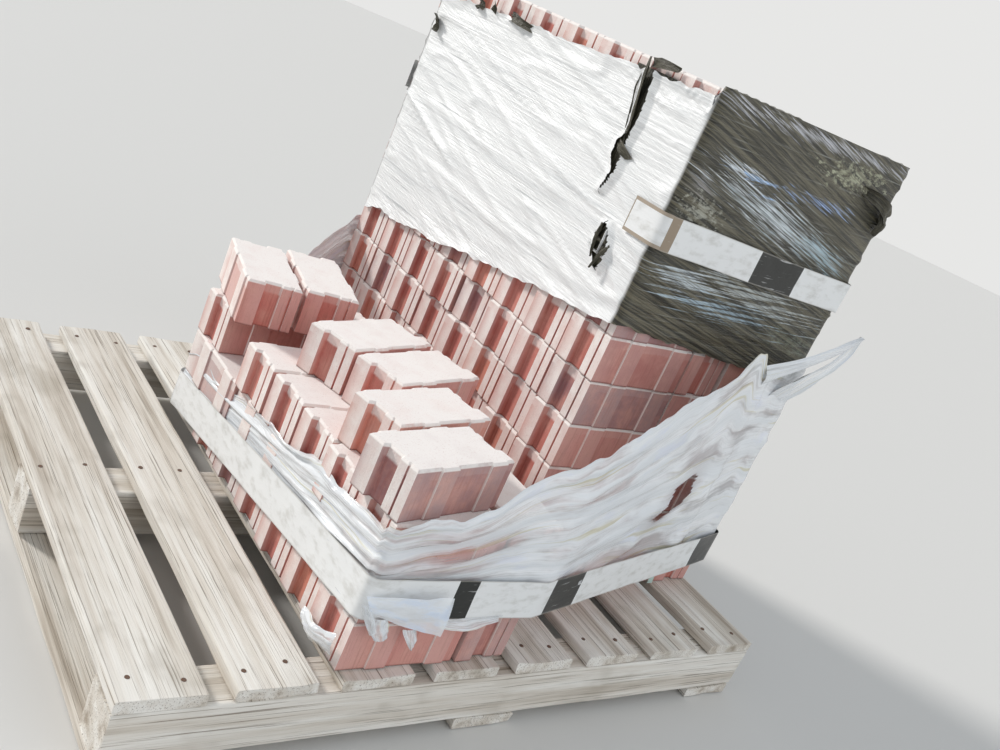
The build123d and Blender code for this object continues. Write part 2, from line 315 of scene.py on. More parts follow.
def black_stretch_film():
    """Black film: painted silver sheen where its glare value is 1, dark olive where it is 0."""
    make = Finish("black_stretch_film")
    run = make.attribute("run")
    slope = {"Vector": run, "Rotation": (0.0, 0.0, math.radians(14.0))}
    sloped = make.new("ShaderNodeMapping", slope)
    streaks = {
        "fine": make.streaks(run, (5, 240, 0), 4.0, 0.65),
        "slope": make.streaks(sloped, (5, 190, 0), 4.0, 0.7, (1.3, 4.1, 0)),
        "broad": make.streaks(run, (6, 60, 0), 5.0, 0.7, (3.1, 7.7, 0)),
        "thread": make.streaks(sloped, (9, 330, 0), 3.0, 0.7, (7.3, 2.1, 0)),
        "mottle": make.streaks(run, (60, 95, 0), 5.0, 0.75, (9.4, 2.2, 0)),
        "hair": make.streaks(sloped, (14, 520, 0), 3.0, 0.65, (5.7, 8.3, 0)),
    }
    drag = make.streaks(run, (2.2, 46, 0), 5.0, 0.7, (3.1, 7.7, 0))
    # Painted silver sheen of the black film, with grey streaks in it
    painted_silver_sheen = make.coats(
        (0.87, 0.88, 0.88),
        (drag, 0.50, 0.72, 0.8, (0.62, 0.64, 0.65)),
        (streaks["fine"], 0.60, 0.70, 0.75, (0.40, 0.42, 0.43)),
    )
    dark = make.coats(
        (0.022, 0.021, 0.014),
        (streaks["slope"], 0.40, 0.62, 1.0, (0.150, 0.136, 0.090)),
        (streaks["hair"], 0.52, 0.68, 0.6, (0.030, 0.029, 0.020)),
        (streaks["fine"], 0.56, 0.74, 0.8, (0.310, 0.315, 0.285)),
    )
    colour = make.blend(make.attribute("glare", "Fac"), patched(make, run, dark, streaks), painted_silver_sheen)
    lines = make.plus(make.times(streaks["fine"], 0.5), make.times(drag, 0.5))
    bumps = make.plus(lines, make.times(streaks["slope"], 0.5))
    return make.done(colour, make.between(lines, 0.35, 0.65, 0.24, 0.44), (bumps, 0.8, 0.004))


def clear_stretch_film():
    """Milky film whose folds follow its edges, with painted shade in its folds, threads and clouds;
    its thin value shows what is behind it.
    """
    make = Finish("clear_stretch_film")
    fan, thin = make.attribute("fan"), make.attribute("glare", "Fac")
    bend = make.times(make.streaks(fan, (5, 4, 0), 2.0, 0.5), 0.11)
    run = make.moved(fan, make.new("ShaderNodeCombineXYZ", {1: bend}))
    folds = make.streaks(run, (2.0, 22, 0), 2.0, 0.5)
    threads = make.streaks(run, (3.2, 170, 0), 3.0, 0.6, (4.0, 1.0, 0))
    stains = make.streaks(run, (2.6, 40, 0), 3.0, 0.6, (8.0, 5.0, 0))
    cloud = make.streaks(run, (8, 16, 0), 4.0, 0.6, (2.0, 3.0, 0))
    # The grey in the folds and threads and the blue of the clouds are painted shade
    white = make.coats(
        (0.93, 0.95, 0.97),
        (folds, 0.40, 0.62, 1.0, (0.80, 0.83, 0.86)),
        (threads, 0.58, 0.70, 0.35, (0.70, 0.73, 0.76)),
        (cloud, 0.56, 0.70, 0.5, (0.74, 0.78, 0.92)),
        (stains, 0.58, 0.68, 0.7, (0.64, 0.59, 0.38)),
    )
    milk = make.plus(make.times(folds, 0.75), make.times(threads, 0.25))
    cover = make.between(make.plus(milk, make.times(cloud, 0.6)), 0.62, 0.84, 0.52, 0.985)
    frayed = make.plus(thin, make.plus(make.times(cloud, 0.4), make.times(threads, 0.5)))
    see_through = make.times(thin, make.between(folds, 0.35, 0.65, 0.75, 0.35))
    open_share = make.maths("MAXIMUM", make.between(frayed, 0.95, 1.01, 0.0, 0.95), see_through)
    return make.done(white, 0.16, (milk, 0.55, 0.006),
                     Alpha=make.maths("SUBTRACT", cover, open_share, clamp=True))


def printed_tape(name, bars, faded=(), rimmed=0.0):
    """White tape with plain black bars and brownish stretches at given runs, rimmed up to a run."""
    make = Finish(name)
    run = make.attribute("run")
    along, _, across = make.parts(run)
    crease = make.streaks(run, (30, 60, 0), 3.0)
    scuff = make.between(make.streaks(run, (16, 260, 0), 3.0, 0.7, (2.0, 5.0, 0)),
                         0.62, 0.70, 1.0, 0.45)
    colour = make.coats((0.87, 0.88, 0.88), (crease, 0.45, 0.75, 1.0, (0.68, 0.68, 0.66)))
    for stretches, paint in ((faded, (0.33, 0.26, 0.19)), (bars, (0.020, 0.021, 0.019))):
        for start, end in stretches:
            inside = make.times(make.maths("GREATER_THAN", along, start),
                                make.maths("LESS_THAN", along, end))
            colour = make.blend(make.times(inside, scuff), colour, paint)
    middle = make.maths("ABSOLUTE", make.maths("SUBTRACT", across, 0.5))
    rim = make.times(make.maths("LESS_THAN", along, rimmed),
                     make.maths("GREATER_THAN", middle, 0.40))
    colour = make.coats(colour, (middle, 0.455, 0.495, 0.5, (0.45, 0.43, 0.39)),
                        (rim, (0.40, 0.33, 0.26)))
    return make.done(colour, 0.32, (crease, 0.4, 0.002))


def loose_tape():
    """The unprinted back of a tape's loose end: thin, bluish and glossy."""
    make = Finish("loose_tape")
    crease = make.streaks(make.attribute("run"), (10, 22, 0), 3.0)
    colour = make.coats((0.93, 0.96, 0.99), (crease, 0.40, 0.65, 1.0, (0.72, 0.80, 0.93)))
    return make.done(colour, 0.18, (crease, 0.5, 0.004),
                     Alpha=make.between(crease, 0.40, 0.62, 0.72, 0.94))


BRICK = fired_brick()
TIMBER = weathered_timber()
BLACK_FILM = black_stretch_film()
CLEAR_FILM = clear_stretch_film()
UPPER_TAPE = printed_tape("upper_tape_print", [(1.037, 1.157), (1.51, 1.63), (2.05, 2.17)],
                          [(0.715, 0.733), (0.812, 0.832)], 0.812)
LOWER_TAPE = printed_tape("lower_tape_print", [
    (0.853, 0.890), (1.047, 1.132), (1.552, 1.660), (2.02, 2.13), (2.42, 2.52)])
LOOSE_TAPE = loose_tape()
SPACER = mottled("spacer_plastic", 90, 0.45, 0.70, (0.58, 0.76, 0.70), (0.48, 0.55, 0.48), 0.45)
NAIL = mottled("nail_steel", 900, 0.4, 0.6, (0.15, 0.14, 0.13), (0.20, 0.09, 0.045), 0.65,
               Metallic=0.6)


# Mesh helpers

def wave(x, y, z, origin=Vector((0, 0, 0))):
    """Smooth noise at a place, about -1 to 1."""
    return noise.noise(origin + Vector((x, y, z)))


def mix(low, high, share):
    return low + (high - low) * share


def added(name, data):
    """A new object of the data, in the scene."""
    made = bpy.data.objects.new(name, data)
    bpy.context.scene.collection.objects.link(made)
    return made


def mesh_from(name, made):
    mesh = bpy.data.meshes.new(name)
    made.to_mesh(mesh)
    made.free()
    return mesh


def skin(made, rings):
    """Closes rings of points into one solid shape, with its faces outwards."""
    for ring, following in zip(rings, rings[1:]):
        for index in range(len(ring)):
            after = (index + 1) % len(ring)
            made.faces.new((ring[index], ring[after], following[after], following[index]))
    made.faces.new(rings[0])
    made.faces.new(rings[-1])
    bmesh.ops.recalc_face_normals(made, faces=made.faces)


def piece_from(name, mesh, material):
    piece = added(name, mesh)
    if not mesh.materials:
        mesh.materials.append(material)
    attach(piece, "root")
    return piece


def laying_tree():
    """Copies one shape onto every point, each turned and shifted a little, with its own tone."""
    tree = bpy.data.node_groups.new("laid_pieces", "GeometryNodeTree")
    sockets = [("Geometry", "Geometry"), ("Shape", "Object"), ("Shift", "Float"),
               ("Sway", "Float"), ("Seed", "Int"), ("Finish", "Material")]
    for name, kind in sockets:
        tree.interface.new_socket(name=name, in_out="INPUT", socket_type=f"NodeSocket{kind}")
    tree.interface.new_socket(name="Geometry", in_out="OUTPUT", socket_type="NodeSocketGeometry")
    make = Nodes(tree)
    start = make.new("NodeGroupInput").outputs
    shift, sway, seed = start["Shift"], start["Sway"], start["Seed"]
    far = make.new("ShaderNodeCombineXYZ", {0: shift, 1: shift})
    back = make.new("ShaderNodeVectorMath", {0: far, "Scale": -1.0}, operation="SCALE")
    offset = make.new("FunctionNodeRandomValue", {0: back, 1: far, "Seed": seed},
                      data_type="FLOAT_VECTOR")
    points = make.new("GeometryNodeSetPosition", {"Geometry": start["Geometry"], "Offset": offset})
    turn = make.new("GeometryNodeInputNamedAttribute", {"Name": "turn"}, data_type="FLOAT")
    swayed = make.new("FunctionNodeRandomValue", {2: make.times(sway, -1.0), 3: sway, "Seed": seed},
                      data_type="FLOAT").outputs[1]
    angles = make.new("ShaderNodeCombineXYZ", {2: make.plus(turn, swayed)})
    turned = make.new("FunctionNodeEulerToRotation", {0: angles})
    shape = make.new("GeometryNodeObjectInfo", {"Object": start["Shape"]}).outputs["Geometry"]
    laid = make.new("GeometryNodeInstanceOnPoints",
                    {"Points": points, "Instance": shape, "Rotation": turned})
    tone = make.new("FunctionNodeRandomValue", {"Seed": seed}, data_type="FLOAT").outputs[1]
    toned = make.new("GeometryNodeStoreNamedAttribute",
                     {"Geometry": laid, "Name": "tone", "Value": tone},
                     data_type="FLOAT", domain="INSTANCE")
    real = make.new("GeometryNodeRealizeInstances", {0: toned})
    make.new("NodeGroupOutput", {0: make.new(
        "GeometryNodeSetMaterial", {"Geometry": real, "Material": start["Finish"]})})
    return tree


LAYING = laying_tree()


def laid_piece(name, shape, spots, seed, looseness, material):
    """The shape laid at spots of (x, y, z, turn), as one plain mesh piece."""
    points = bpy.data.meshes.new(name)
    points.from_pydata([spot[:3] for spot in spots], [], [])
    turn = points.attributes.new("turn", "FLOAT", "POINT")
    for index, spot in enumerate(spots):
        turn.data[index].value = spot[3]
    holder = added(name, points)
    modifier = holder.modifiers.new("laid", "NODES")
    modifier.node_group = LAYING
    shift, sway = looseness
    values = {"Shape": shape, "Shift": shift, "Sway": sway, "Seed": seed, "Finish": material}
    for item in LAYING.interface.items_tree:
        if item.in_out == "INPUT" and item.name in values:
            modifier[item.identifier] = values[item.name]
    bpy.context.view_layer.update()
    grown = holder.evaluated_get(bpy.context.evaluated_depsgraph_get())
    mesh = bpy.data.meshes.new_from_object(grown)
    mesh.name = name
    holder.modifiers.remove(modifier)
    bpy.data.objects.remove(holder)
    bpy.data.meshes.remove(points)
    return piece_from(name, mesh, material)


# Bricks

NIB, LOBE, GROOVE, SLOT = 0.0, 0.005, 0.008, 0.010     # depths behind the nib's face
SIDE_LAND = 0.003                                      # depth of a long side behind its low nibs
NIB_SPACING = 0.100
# Distance and depth along a brick's end: its raised nib, slot, and two lobes with a groove
END_STEPS = [(0, NIB), (0.032, NIB), (0.035, SLOT), (0.060, SLOT), (0.063, LOBE), (0.078, LOBE),
             (0.0786, GROOVE), (0.0814, GROOVE), (0.082, LOBE), (0.100, LOBE)]
# Height and inset of a brick's rings of points, from its eased foot to its chamfered top
BRICK_RINGS = [(0.0, 0.0008), (0.0012, 0.0), (0.0768, 0.0), (BRICK_HEIGHT, 0.0028)]
# How pale a side is painted up to a depth: a painted highlight on the raised faces, while the slot
# and groove keep their red as painted shade
PAINTED_LIGHT_BY_DEPTH = [(0.001, 1.0), (0.004, 0.50), (0.006, 0.88), (0.009, 0.12), (1.0, 0.0)]
SHARPEST_MITRE = 0.35
# How far laid pieces may be shifted, in metres, and turned, in radians
SNUG, SLACK, AS_PLACED = (0.0009, 0.004), (0.0012, 0.008), (0.0, 0.0)
STACK_SEED, GROUP_SEED, HALF_SEED, LOOSE_SEED = 40, 70, 80, 90


def side_steps(length):
    """Distance and depth along a long side, with its low nibs."""
    steps = [(0, SIDE_LAND)]
    for module in range(max(1, round(length / NIB_SPACING))):
        base = module * NIB_SPACING
        steps += [(base + 0.050, SIDE_LAND), (base + 0.0515, NIB), (base + 0.0835, NIB),
                  (base + 0.085, SIDE_LAND)]
    return steps + [(length, SIDE_LAND)]


def brick_plan(length):
    """Points round a brick anticlockwise from its back left corner, each with its depth."""
    sides = [END_STEPS, side_steps(length), END_STEPS, side_steps(length)]
    spans = [BRICK_WIDTH, length, BRICK_WIDTH, length]
    to_plan = [
        lambda s, d: (d, BRICK_WIDTH - s),
        lambda s, d: (s, d),
        lambda s, d: (length - d, s),
        lambda s, d: (length - s, BRICK_WIDTH - d),
    ]
    points = []
    for index, side in enumerate(sides):
        last = sides[(index + 1) % 4][0][1]
        trimmed = side[1:-1] + [(spans[index] - last, side[-1][1])]
        points += [(*to_plan[index](s, d), d) for s, d in trimmed]
    return points


def inset(points, distance):
    """The plan moved inwards, with its corners mitred."""
    moved = []
    for index, (x, y, depth) in enumerate(points):
        before, after = Vector(points[index - 1][:2]), Vector(points[(index + 1) % len(points)][:2])
        here = Vector((x, y))
        first, second = (here - before).normalized(), (after - here).normalized()
        normal_in, normal_out = Vector((-first.y, first.x)), Vector((-second.y, second.x))
        sharpness = max(SHARPEST_MITRE, 1 + normal_in.dot(normal_out))
        place = here + (normal_in + normal_out) / sharpness * distance
        moved.append((place.x, place.y, depth))
    return moved


def brick_shape(name, length):
    """A nibbed brick with a chamfered top arris, its front left corner at the origin."""
    made = bmesh.new()
    # Share of painted highlight at each point, set by its depth
    painted_light_share = made.verts.layers.float.new("painted_light_share")
    place = made.verts.layers.float_vector.new("place")
    rings = []
    for z, in_by in BRICK_RINGS:
        ring = []
        for x, y, depth in inset(brick_plan(length), in_by):
            vertex = made.verts.new((x, y, z))
            vertex[painted_light_share] = next(value for limit, value in PAINTED_LIGHT_BY_DEPTH if depth < limit)
            vertex[place] = vertex.co
            ring.append(vertex)
        rings.append(ring)
    skin(made, rings)
    return added(name, mesh_from(name, made))


def along_x(x, y, z):
    return (x, y, z, 0.0)


def along_y(x, y, z):
    return (x + BRICK_WIDTH, y, z, QUARTER_TURN)


def out_of_line(table, course, row):
    return table.get((course, row), 0) / 1000


def course_foot(number):
    return DECK_TOP + (number - 1) * BRICK_HEIGHT


def stack_spots(number):
    """Places of the twenty bricks in one course of the wrapped stack."""
    z = course_foot(number)
    second, turned = (RUN, 2 * RUN) if number % 2 else (RUN + ROW, RUN)
    spots = []
    for row in range(STACK_ROWS):
        y = STACK_FRONT + row * ROW
        spots.append(along_x(STACK_LEFT + out_of_line(PUSHED, number, row), y, z))
        spots.append(along_x(STACK_LEFT + second, y, z))
    return spots + [along_y(STACK_LEFT + turned, STACK_FRONT + place * RUN, z)
                    for place in range(STACK_ROWS // 2)]


def group_spots(number):
    """Places of the whole bricks in a course of the opened group, and of its half brick."""
    z = course_foot(number)
    middle = number == 2
    first, turned = (ROW, 0.0) if middle else (0.0, RUN)
    start = GROUP_DEPTH - 3 * RUN + JOINT if middle else 0.0
    spots = []
    for row in range(GROUP_ROWS):
        if (number, row) != HOLE:
            out = 0.0 if middle else out_of_line(DRAWN_OUT, number, row)
            spots.append(along_x(GROUP_LEFT + first - out, GROUP_FRONT + row * ROW, z))
    for place in range(3):
        out = out_of_line(DRAWN_OUT, number, place) if middle else 0.0
        spots.append(along_y(GROUP_LEFT + turned - out, GROUP_FRONT + start + place * RUN, z))
    half_y = GROUP_FRONT + (0.0 if middle else 3 * RUN)
    return spots, along_x(GROUP_LEFT + turned, half_y, z)


def loose_spot(x, y, turn, lengthwise):
    angle = math.radians(turn)
    if not lengthwise:
        return (x, y, GROUP_TOP, angle)
    return (x + BRICK_WIDTH * math.cos(angle), y + BRICK_WIDTH * math.sin(angle), GROUP_TOP,
            angle + QUARTER_TURN)


def lay(name, shape, spots, seed, looseness, *nodes):
    piece = laid_piece(name, shape, spots, seed, looseness, BRICK)
    if nodes:
        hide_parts(*nodes)


def build_bricks():
    whole, half = brick_shape("whole_brick", BRICK_LENGTH), brick_shape("half_brick", BRICK_WIDTH)
    for number in range(1, STACK_COURSES + 1):
        nodes = [f"stack_course_{number:02d}"]
        if number in CORE_COURSES:
            nodes = ["stack_core"] if number == CORE_COURSES[0] else []
        lay(f"course_bricks_{number:02d}", whole, stack_spots(number), STACK_SEED + number, SNUG,
            *nodes)
    for number in range(1, GROUP_COURSES + 1):
        spots, half_spot = group_spots(number)
        lay(f"group_bricks_{number}", whole, spots, GROUP_SEED + number, SLACK,
            f"group_course_{number}")
        lay(f"group_half_{number}", half, [half_spot], HALF_SEED + number, AS_PLACED)
    for index, (node, where) in enumerate(LOOSE_BRICKS.items()):
        lay(f"loose_{node}", whole, [loose_spot(*where)], LOOSE_SEED + index, AS_PLACED, node)
    bpy.data.objects.remove(whole)
    bpy.data.objects.remove(half)


# Pallet

BOARD_ARRIS = 0.0035
BOARD_WEAR, END_WEAR = 0.0025, 0.006     # how deep the faces and the ends are worn
BOARD_SLICE = 0.04
BOARD_SEED, NAIL_SEED, NAIL_TURN_SEED = 300, 12, 5
NAIL_LOOSENESS = (0.0, 0.5)
NAIL_LINES = (-0.4625, 0.0, 0.4625)
NAIL_SHARES = (0.22, 0.76)       # places across a deck board
NAIL_FOOT, NAIL_TOP, NAIL_HEIGHT, NAIL_SUNK = 0.0042, 0.0034, 0.0016, 0.0006    # radii, heights


def board_section(half_w, half_h):
    """Points round a board's end, with rounded arrises and three more on its top and foot."""
    section = []
    for side_w, side_h, start in ((1, 1, 0), (-1, 1, 90), (-1, -1, 180), (1, -1, 270)):
        for step in range(3):
            angle = math.radians(start + 45 * step)
            section.append((side_w * (half_w - BOARD_ARRIS) + BOARD_ARRIS * math.cos(angle),
                            side_h * (half_h - BOARD_ARRIS) + BOARD_ARRIS * math.sin(angle)))
    shares = (-0.5, 0.0, 0.5)
    top = [(-share * half_w, half_h) for share in shares]
    foot = [(share * half_w, -half_h) for share in shares]
    return section[:3] + top + section[3:9] + foot + section[9:]


def board_shape(name, low, high, along, seed):
    """A sawn board with rounded arrises, uneven faces and ragged ends, in place of a node."""
    chance = random.Random(seed)
    across = 1 - along
    length = high[along] - low[along]
    half_w, half_h = (high[across] - low[across]) / 2, (high[2] - low[2]) / 2
    centre = [(low[axis] + high[axis]) / 2 for axis in range(3)]
    slices = max(8, int(length / BOARD_SLICE))
    made = bmesh.new()
    grain = made.verts.layers.float_vector.new("grain")
    origin = Vector([chance.uniform(0, 50) for _ in range(3)])
    rings = []
    for index in range(slices + 1):
        ring = []
        for w, h in board_section(half_w, half_h):
            run = (index / slices - 0.5) * length
            swell = abs(wave(run * 4, w * 9, h * 9, origin)) * BOARD_WEAR
            ripple = abs(wave(run * 19, w * 40, h * 60, origin)) * BOARD_WEAR
            if index in (0, slices):
                ragged = abs(wave(w * 70, h * 90, index, origin)) * END_WEAR
                run += ragged if index == 0 else -ragged
            at = [0.0, 0.0, centre[2] + h * (1 - (swell + ripple * 0.5) / half_h)]
            at[along] = centre[along] + run
            at[across] = centre[across] + w * (1 - swell / half_w)
            vertex = made.verts.new(at)
            vertex[grain] = origin + Vector((run, w, h))
            ring.append(vertex)
        rings.append(ring)
    skin(made, rings)
    return piece_from(name, mesh_from(name, made), TIMBER)


def nail_spots(boards):
    """Places of the nails, two on each board over each bearer."""
    chance = random.Random(NAIL_SEED)
    spots = []
    for node in boards:
        low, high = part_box(node)
        for y in NAIL_LINES:
            for share in NAIL_SHARES:
                x = mix(low[0], high[0], share) + chance.uniform(-0.008, 0.008)
                spots.append((x, y + chance.uniform(-0.012, 0.012), DECK_TOP - NAIL_SUNK, 0.0))
    return spots


def build_pallet():
    boards = sorted(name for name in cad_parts
                    if name.startswith(("deck_", "bearer_", "base_")))
    for index, node in enumerate(boards):
        along = 0 if node.startswith("bearer_") else 1
        piece = board_shape(f"timber_{node}", *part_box(node), along, BOARD_SEED + index)
        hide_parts(node)
    made = bmesh.new()
    bmesh.ops.create_cone(made, cap_ends=True, segments=10, radius1=NAIL_FOOT, radius2=NAIL_TOP,
                          depth=NAIL_HEIGHT)
    head = added("nail_head", mesh_from("nail_head", made))
    spots = nail_spots([node for node in boards if node.startswith("deck_")])
    laid_piece("deck_nails", head, spots, NAIL_TURN_SEED, NAIL_LOOSENESS, NAIL)
    bpy.data.objects.remove(head)


# Sheets of film and tape

SLIT_REACH = 0.040               # how far from a slit the film is still drawn aside
SLIT_LIP_REACH = 0.018
SLIT_LIP = 0.006                 # how far the slit's lips stand off
FILM_STEP, TAPE_STEP = 0.007, 0.010      # spacing of a sheet's columns of points
TEAR_TIMES = 3                   # how much closer they stand where the film is torn
SLIT_PITCH = FILM_STEP / TEAR_TIMES


def round_path(corners, offset, radius, step):
    """Points round a closed convex path that is moved outwards, with rounded corners.

    Each has its place, the way out, its run and its side, a whole number at each corner.
    """
    count = len(corners)
    lines = []
    for index in range(count):
        start, end = Vector(corners[index]), Vector(corners[(index + 1) % count])
        along = (end - start).normalized()
        out = Vector((along.y, -along.x))
        lines.append((start + out * offset, along, out))
    starts, turns = [], []
    for index in range(count):
        (first, first_along, _), (second, second_along, _) = lines[index - 1], lines[index]
        share = (second - first).cross(second_along) / first_along.cross(second_along)
        starts.append(first + first_along * share)
        turns.append(math.acos(max(-1, min(1, first_along.dot(second_along)))))
    points = []
    for index, (_, along, out) in enumerate(lines):
        here, after = starts[index], starts[(index + 1) % count]
        turn = turns[(index + 1) % count]
        cut_in, cut_out = radius * math.tan(turns[index] / 2), radius * math.tan(turn / 2)
        length = (after - here).length
        flat = length - cut_in - cut_out
        steps = max(2, round(flat / step))
        for place in range(steps + 1):
            far = cut_in + flat * place / steps
            points.append((here + along * far, out, index + far / length))
        centre = here + along * length - along * cut_out - out * radius
        arcs = max(2, round(radius * turn / step) + 1)
        for place in range(1, arcs):
            way = Matrix.Rotation(turn * place / arcs, 2) @ out
            points.append((centre + way * radius, way, index + 1.0))
    run = 0.0
    path = []
    for index, (at, out, side) in enumerate(points):
        if index:
            run += (at - points[index - 1][0]).length
        path.append((at, out, run, side))
    return path


def refined(path, low, high, times):
    """The path with more points where its run lies between low and high."""
    result = []
    for (at, out, run, side), after in zip(path, path[1:] + [None]):
        result.append((at, out, run, side))
        if after and low < run < high:
            for step in range(1, times):
                share = step / times
                result.append((at.lerp(after[0], share), out.lerp(after[1], share).normalized(),
                               mix(run, after[2], share), mix(side, after[3], share)))
    return result


def level(values, side):
    """Height at a place along the corners' list of heights."""
    index = int(side) % len(values)
    return mix(values[index], values[(index + 1) % len(values)], side - int(side))


def slit_at(slit, z):
    """A slit's run and half width at a height, or None above and below it."""
    for (run, top, half), (next_run, bottom, next_half) in zip(slit, slit[1:]):
        if bottom <= z <= top:
            share = (top - z) / (top - bottom)
            return mix(run, next_run, share), mix(half, next_half, share)
    return None


def opened(slits, run, z):
    """How far the film is drawn aside and lifted by the slits, and on which side of one it is."""
    for slit in slits:
        found = slit_at(slit, z)
        if found:
            off = run - found[0]
            if abs(off) < SLIT_PITCH:
                return math.copysign(found[1], off) - off, SLIT_LIP, off
            if abs(off) < SLIT_REACH:
                aside = math.copysign(found[1] * (1 - abs(off) / SLIT_REACH), off)
                return aside, SLIT_LIP * max(0.0, 1 - abs(off) / SLIT_LIP_REACH), off
    return 0.0, 0.0, None


def film_layers(made):
    """A sheet's own values: run, height and share; the fan of its folds; and its mark."""
    layers = made.verts.layers
    return layers.float_vector.new("run"), layers.float_vector.new("fan"), layers.float.new("glare")


def film_point(made, layers, at, *values):
    vertex = made.verts.new(at)
    for layer, value in zip(layers, values):
        vertex[layer] = value
    return vertex


def web(made, columns, closed=False):
    """Faces between columns of points, but not across a slit: each point has its side of one."""
    for column, following in zip(columns, columns[1:] + columns[:closed]):
        for row in range(len(column) - 1):
            corners = (column[row], following[row], following[row + 1], column[row + 1])
            offs = [off for _, off in corners if off is not None]
            if not offs or min(offs) >= 0 or max(offs) < 0:
                made.faces.new([vertex for vertex, _ in corners]).smooth = True


def wrapped_sheet(name, node, path, lows, highs, rows, shape_it, material, slot,
                  shreds=(), marks=None, slits=(), closed=True):
    """A band round the load in place of a node, whose points shape_it pushes and lifts.

    Its lowest and highest places are in millimetres above the deck, one for each corner.
    """
    lows, highs = ([DECK_TOP + height / 1000 for height in heights] for heights in (lows, highs))
    made = bmesh.new()
    layers = film_layers(made)
    columns = []
    area = tallest = 0.0
    for index, (at, out, run, side) in enumerate(path):
        low, high = level(lows, side), level(highs, side)
        tallest = max(tallest, high - low)
        column = []
        for row in range(rows + 1):
            share = row / rows
            z = mix(low, high, share)
            push, lift = shape_it(run, z, share, side)
            aside, raised, off = opened(slits, run, z)
            push += raised
            place = (at.x + out.x * push - out.y * aside, at.y + out.y * push + out.x * aside,
                     z + lift)
            mark = marks(side, z) if marks else 0.0
            point = film_point(made, layers, place, (run, z + lift, share),
                               (run, share * 0.5, 0.0), mark)
            column.append((point, off))
        columns.append(column)
        if closed or index + 1 < len(path):
            area += (path[(index + 1) % len(path)][0] - at).length * (high - low)
    web(made, columns, closed)
    loose = [vertex for vertex in made.verts if not vertex.link_faces]
    bmesh.ops.delete(made, geom=loose, context="VERTS")
    sheet = piece_from(name, mesh_from(name, made), material)
    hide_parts(node)
    loose = [spanned_piece(*row, slot) for row in shreds]


def smooth_line(points, steps=7):
    """A smooth line through points given in millimetres, as vectors in metres."""
    knots = [Vector(point) / 1000 for point in points]
    line = []
    for index in range(len(knots) - 1):
        here, following = knots[index], knots[index + 1]
        before, after = knots[max(0, index - 1)], knots[min(len(knots) - 1, index + 2)]
        for step in range(steps):
            t = step / steps
            line.append(0.5 * (2 * here + (following - before) * t
                               + (2 * before - 5 * here + 4 * following - after) * t ** 2
                               + (3 * here - before - 3 * following + after) * t ** 3))
    return line + [knots[-1]]


SHRED_ROWS = 8


def shred(made, layers, number, first, second, bow, ruffle, mark):
    """One shred between two edge lines, bowed and ruffled by millimetres."""
    lowers, uppers = smooth_line(first), smooth_line(second)
    last = len(lowers) - 1
    grid = []
    for index, (lower, upper) in enumerate(zip(lowers, uppers)):
        place = index / last
        out = (lowers[min(last, index + 1)] - lowers[max(0, index - 1)]).cross(upper - lower)
        out = out.normalized() if out.length > 1e-9 else Vector((0, -1, 0))
        edge = math.sin(math.pi * place) ** 0.5 if 0 < place < 1 else 0.0
        column = []
        for row in range(SHRED_ROWS + 1):
            share = row / SHRED_ROWS
            swell = math.sin(math.pi * share) * bow
            crumple = wave(place * 5 + number * 7, share * 4, 3.3)
            crumple += 0.5 * wave(place * 3 + number, share * 13, 9.1)
            at = lower.lerp(upper, share) + out * (swell + crumple * edge * ruffle) / 1000
            along = place * 0.25 + number
            point = film_point(made, layers, at, (along, share * 0.12, share),
                               (along, share * 0.25, 0.0), mark)
            column.append((point, None))
        grid.append(column)
    web(made, grid)


def spanned_piece(name, spans, material, mark, slot):
    """Loose ends and shreds as one mesh; each has two edge lines in millimetres."""
    made = bmesh.new()
    layers = film_layers(made)
    for number, span in enumerate(spans):
        shred(made, layers, number, *span, mark)
    bmesh.ops.remove_doubles(made, verts=made.verts, dist=0.00002)
    return piece_from(name, mesh_from(name, made), material)


# Where the films and tapes run, at their corners

BLACK_REACH = 0.0018             # how far the black film stands off the stack
STACK_CORNERS = [(STACK_LEFT, STACK_BACK), (STACK_LEFT, STACK_FRONT), (STACK_RIGHT, STACK_FRONT),
                 (STACK_RIGHT, STACK_BACK)]
LOAD_CORNERS = [
    (GROUP_LEFT, GROUP_FRONT + GROUP_DEPTH), (GROUP_LEFT, GROUP_FRONT), (0.0, GROUP_FRONT),
    (STACK_RIGHT + BLACK_REACH, STACK_FRONT - BLACK_REACH),
    (STACK_RIGHT + BLACK_REACH, STACK_BACK + BLACK_REACH), (STACK_LEFT, STACK_BACK + BLACK_REACH),
]


# Black film

TEAR_RUNS = (0.58, 0.76)         # the film is finer between these runs, where it is torn
# Tears in the left side: run, height and half width from the top down, in metres
BLACK_SLITS = [
    [(0.636, 1.05, 0.012), (0.640, 0.991, 0.0095), (0.644, 0.957, 0.0085), (0.652, 0.907, 0.0065),
     (0.650, 0.884, 0.0035), (0.643, 0.866, 0.0100), (0.647, 0.846, 0.0110),
     (0.655, 0.822, 0.0030), (0.640, 0.783, 0.0)],
    [(0.684, 0.748, 0.0), (0.692, 0.736, 0.0090), (0.698, 0.712, 0.0170), (0.704, 0.692, 0.0120),
     (0.706, 0.674, 0.0)],
]
STACK_TOP = DECK_TOP + STACK_COURSES * BRICK_HEIGHT
OVER_TOP = 0.005                 # how far the film lies above the bricks where it folds over
# Shares of its height: where the front climbs from, how far it climbs, and where it folds
CLIMB_START, CLIMB, FOLD_START = 0.80, 0.15, 0.955
TORN_BAND, ROLLED_BAND = 0.14, 0.05      # shares of its height where an edge is ragged and rolled
PLEAT_END = 0.26                 # run where the long pleat of the left side dies out
HELD_FROM, HELD_UNDER = 1.9, 0.68        # side and height where the clear film holds it flat

